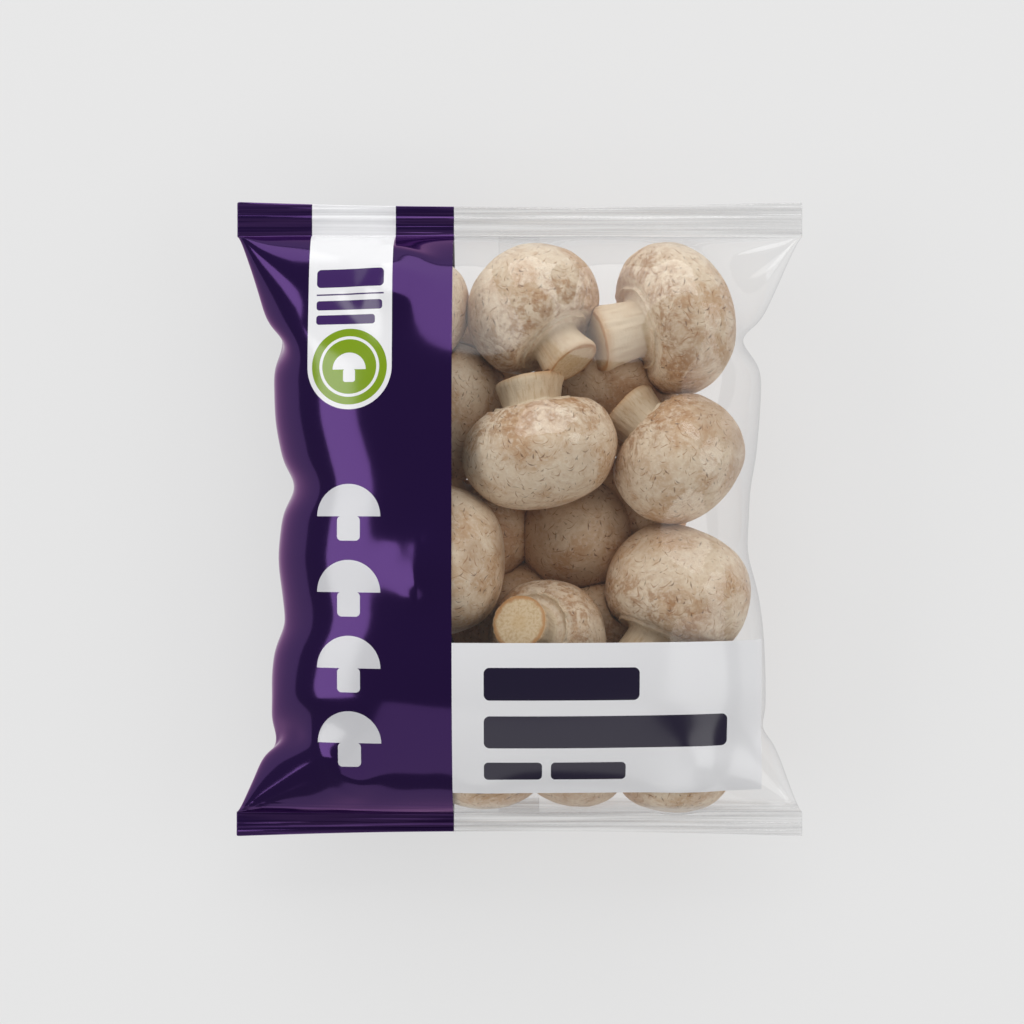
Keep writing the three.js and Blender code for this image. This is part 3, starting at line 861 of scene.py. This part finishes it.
def veil_skin(n, axial):
    """Pale torn skin between the stem and the cap's margin: its colour and grain."""
    grain = n.noise(n.stretch(axial, (1, 1, 2.5)), 0.7, 3.0, 0.68)
    return n.stain(rgb("#E0CFB7"), "#BC976E", n.step(grain, 0.42, 0.7), 0.6), grain


def mushroom_material():
    n = Nodes("mushroom_skin")
    spot, axial = n.attribute("spot", "Vector"), n.attribute("axial", "Vector")
    rise, girth, span = n.attribute("rise"), n.attribute("girth"), n.attribute("span")
    cap_colour, cap_relief = cap_skin(n, spot, rise, n.attribute("tint"))
    stem_colour, fibres = stem_skin(n, spot, axial, rise, girth)
    veil_colour, veil_grain = veil_skin(n, axial)

    under = n.rest(n.step(rise, 0.10, 0.20))
    margin = n.math("MULTIPLY_ADD", n.noise(spot, 0.7, 3.0, 0.7), 0.14, span)
    veil = n.times(under, n.rest(n.step(margin, 0.70, 0.76)))
    colour = n.mix(veil, cap_colour, veil_colour)
    off_cap = n.rest(n.step(rise, -0.03, 0.01))
    colour = n.mix(off_cap, colour, stem_colour)
    # painted shade: the colour is multiplied towards dark brown where points lie deep in the bag or close
    # to a neighbour
    painted_shade_colour = (0.84, 0.61, 0.38, 1)
    colour = n.mix(n.attribute("painted_shade"), colour, painted_shade_colour, "MULTIPLY")

    height = n.add("Mix", data_type="FLOAT")
    n.feed(height.inputs["Factor"], n.step(rise, 0.02, 0.16))
    n.feed(height.inputs["A"], n.times(n.math("ADD", fibres, veil_grain), 0.45))
    n.feed(height.inputs["B"], cap_relief)
    bump = n.add("Bump", {"Strength": 0.5, "Distance": 0.0007, "Height": height.outputs["Result"]})
    shader = n.add("BsdfPrincipled", {"Base Color": colour, "Roughness": 0.55, "Normal": bump.outputs[0],
                                      "Specular IOR Level": 0.4})
    return n.finish(shader.outputs[0])


# ---------------------------------------------------------------- film material

class Print:
    """Flat shapes on the film, in mm, as masks that are 1 inside."""

    def __init__(self, nodes):
        self.n = nodes
        scaled = nodes.add("VectorMath", {0: nodes.coordinate("Object"), "Scale": 1 / MM},
                           operation="SCALE")
        split = nodes.add("SeparateXYZ", {"Vector": scaled.outputs[0]})
        self.x = split.outputs["X"]
        self.y = split.outputs["Y"]
        self.front = nodes.math("GREATER_THAN", nodes.attribute("front"), 0.5)

    def reach(self, dx, dy):
        squares = [self.n.math("POWER", side, 2.0) for side in (dx, dy)]
        return self.n.math("SQRT", self.n.math("ADD", *squares))

    def box(self, left, bottom, right, top, corner=0.0):
        outside = []
        for value, low, high in ((self.x, left, right), (self.y, bottom, top)):
            off_middle = self.n.math("ABSOLUTE", self.n.math("SUBTRACT", value, (low + high) / 2))
            beyond = self.n.math("SUBTRACT", off_middle, (high - low) / 2 - corner)
            outside.append(self.n.math("MAXIMUM", beyond, 0.0))
        return self.n.math("LESS_THAN", self.reach(*outside), max(corner, 0.001))

    def disc(self, x, y, radius):
        dx = self.n.math("SUBTRACT", self.x, x)
        dy = self.n.math("SUBTRACT", self.y, y)
        return self.n.math("LESS_THAN", self.reach(dx, dy), radius)

    def either(self, *shapes):
        total = shapes[0]
        for shape in shapes[1:]:
            total = self.n.math("MAXIMUM", total, shape)
        return total

    def mushroom(self, x, y, size):
        """A plain little mushroom: half a disc on a short stem."""
        cap = self.n.times(self.disc(x, y, size), self.n.math("GREATER_THAN", self.y, y))
        stem = self.box(x - size * 0.36, y - size * 0.75, x + size * 0.36, y + 0.1, size * 0.14)
        return self.either(cap, stem)

    def on_front(self, *shapes):
        return self.n.times(self.front, self.either(*shapes))

    def panel(self):
        """The dark panel, which runs round to the back."""
        return self.n.math("LESS_THAN", self.x, PANEL_EDGE)

    def tab(self):
        strip = self.box(TAB_X - TAB_RADIUS, TAB_Y, TAB_X + TAB_RADIUS, TAB_TOP)
        return self.on_front(strip, self.disc(TAB_X, TAB_Y, TAB_RADIUS))

    def badge(self):
        return self.on_front(self.disc(TAB_X, TAB_Y, BADGE_RADIUS))

    def icon(self):
        ring = self.n.times(self.disc(TAB_X, TAB_Y, RING_OUTER),
                            self.n.rest(self.disc(TAB_X, TAB_Y, RING_INNER)))
        return self.on_front(ring, self.mushroom(TAB_X, TAB_Y - 0.8, ICON_SIZE))

    def signs(self):
        return self.on_front(*[self.mushroom(SIGN_X, SIGN_Y - SIGN_PITCH * k, SIGN_SIZE)
                               for k in range(SIGN_COUNT)])

    def bars(self, places):
        return self.on_front(*[self.box(*place) for place in places])


def ink_shader(n, colour, light, bump):
    """Glossy ink: metallic where it is dark, plain where it is light."""
    dark_ink = n.add("BsdfPrincipled", {"Base Color": colour, "Roughness": 0.10, "Metallic": 0.62,
                                        "IOR": 1.5, "Specular IOR Level": 1.0,
                                        "Specular Tint": (0.84, 0.42, 0.80, 1.0), "Normal": bump})
    light_ink = n.add("BsdfPrincipled", {"Base Color": colour, "Roughness": 0.16, "IOR": 1.5,
                                         "Specular IOR Level": 0.6, "Normal": bump})
    return n.mix_shaders(light, dark_ink, light_ink)


def clear_shader(n, bump, cloudy):
    """Clear film: see-through face on, greyer and shinier edge on, and hazy where it is sealed."""
    facing = n.add("LayerWeight", {"Blend": 0.5, "Normal": bump}).outputs["Facing"]
    off_fin = n.rest(n.times(n.attribute("fin"), 0.8))
    tilted = n.math("POWER", facing, 3.0)
    through = n.mix(n.times(tilted, off_fin), (1, 1, 1, 1), (0.74, 0.74, 0.75, 1))
    clear = n.add("BsdfTransparent", {"Color": through})
    haze = n.add("BsdfDiffuse", {"Color": (0.62, 0.62, 0.62, 1)})
    film = n.mix_shaders(n.math("MULTIPLY_ADD", cloudy, 0.35, 0.012), clear, haze)
    gloss = n.add("BsdfGlossy", {"Color": (1, 1, 1, 1), "Roughness": 0.06, "Normal": bump})
    glance = n.times(n.math("MULTIPLY_ADD", tilted, 0.45, 0.039), off_fin)
    return n.mix_shaders(glance, film, gloss)


def film_material():
    n = Nodes("printed_film")
    p = Print(n)
    place = n.coordinate("Object")
    crimps = n.noise(n.stretch(place, (14, 950, 9)), 1.0, 2.0, 0.65)
    sealed = n.step(n.math("ABSOLUTE", p.y), SEAL_TOP - 0.5, SEAL_TOP + 1.0)

    panel, tab, signs = p.panel(), p.tab(), p.signs()
    label = p.on_front(p.box(*LABEL))
    bars = p.bars(LABEL_BARS)
    white = "#E9E9EB"
    cloud = n.noise(place, 30.0, 1.0)
    colour = n.mix(n.times(cloud, 0.3), (0.022, 0.0085, 0.070, 1), (0.020, 0.009, 0.078, 1))
    ridges = n.times(sealed, n.step(crimps, 0.42, 0.62))
    colour = n.mix(ridges, colour, (0.062, 0.028, 0.125, 1))
    colour = n.stain(colour, white, tab)
    colour = n.stain(colour, "#7C9A10", p.badge())
    colour = n.stain(colour, white, p.icon())
    colour = n.stain(colour, "#3A1C5C", p.bars(TAB_BARS))
    colour = n.stain(colour, "#CFCFD3", signs)
    colour = n.stain(colour, white, label)
    colour = n.stain(colour, "#170D2C", bars)

    crinkle = n.noise(place, 90.0, 2.0, 0.45)
    relief = n.math("MULTIPLY_ADD", n.times(crimps, sealed), 9.0, crinkle)
    bump = n.add("Bump", {"Strength": 0.10, "Distance": 0.0004, "Height": relief}).outputs[0]
    ink = ink_shader(n, colour, p.either(tab, label, signs, bars), bump)
    clear = clear_shader(n, bump, n.times(sealed, n.step(crimps, 0.3, 0.7)))
    return n.finish(n.mix_shaders(p.either(panel, tab, label), clear, ink).outputs[0])


# ---------------------------------------------------------------- stage

def floor():
    size, low = 3.0, -0.0002
    mesh = bpy.data.meshes.new("floor")
    mesh.from_pydata([(-size, -size, low), (size, -size, low), (size, size, low), (-size, size, low)],
                     [], [(0, 1, 2, 3)])
    piece = bpy.data.objects.new("floor", mesh)
    bpy.context.scene.collection.objects.link(piece)
    n = Nodes("floor_paint")
    shader = n.add("BsdfPrincipled", {"Base Color": (0.22, 0.22, 0.22, 1), "Roughness": 0.8,
                                      "Emission Color": (1, 1, 1, 1), "Emission Strength": 0.575})
    mesh.materials.append(n.finish(shader.outputs[0]))


def soft_box(name, bearing, lean, width, height, radiance):
    """Large lamp aimed at the bag: `bearing` round from +X, `lean` off the vertical."""
    distance = 2.0
    light = bpy.data.lights.new(name, "AREA")
    light.shape = "RECTANGLE"
    light.size = width
    light.size_y = height
    light.energy = math.pi * width * height * radiance
    lamp = bpy.data.objects.new(name, light)
    around, off = math.radians(bearing), math.radians(lean)
    lamp.location = (distance * math.sin(off) * math.cos(around),
                     distance * math.sin(off) * math.sin(around), distance * math.cos(off))
    lamp.rotation_euler = (off, 0, around + math.pi / 2)
    bpy.context.scene.collection.objects.link(lamp)


def studio():
    soft_box("left_box", bearing=180, lean=57, width=2.0, height=0.8, radiance=2.9)
    soft_box("top_box", bearing=90, lean=60, width=2.3, height=2.1, radiance=2.3)
    soft_box("low_box", bearing=270, lean=55, width=2.4, height=1.4, radiance=0.75)
    soft_box("right_box", bearing=-5, lean=58, width=1.9, height=1.2, radiance=1.6)
    world = bpy.data.worlds.new("studio")
    world.use_nodes = True
    background = world.node_tree.nodes["Background"]
    background.inputs["Color"].default_value = (1, 1, 1, 1)
    background.inputs["Strength"].default_value = 0.22
    bpy.context.scene.world = world


def camera():
    """Straight over the bag, as far off as the photograph's perspective asks."""
    distance = 0.876
    centre = (-0.00196, 0.00196)
    lens = bpy.data.cameras.new("camera")
    lens.lens = 110
    lens.sensor_width = 36
    eye = bpy.data.objects.new("camera", lens)
    eye.location = (*centre, SEAL_Z * MM + distance)
    bpy.context.scene.collection.objects.link(eye)
    bpy.context.scene.camera = eye


# ---------------------------------------------------------------- build

bpy.context.scene.view_settings.view_transform = "Standard"
camera()
floor()
studio()
film_grid = film_points()
film_piece(film_grid).data.materials.append(film_material())
inner_face = film_surface(film_grid)
flesh = mushroom_material()
for number, details in enumerate(MUSHROOMS):
    mushroom_piece(number, details, inner_face).data.materials.append(flesh)
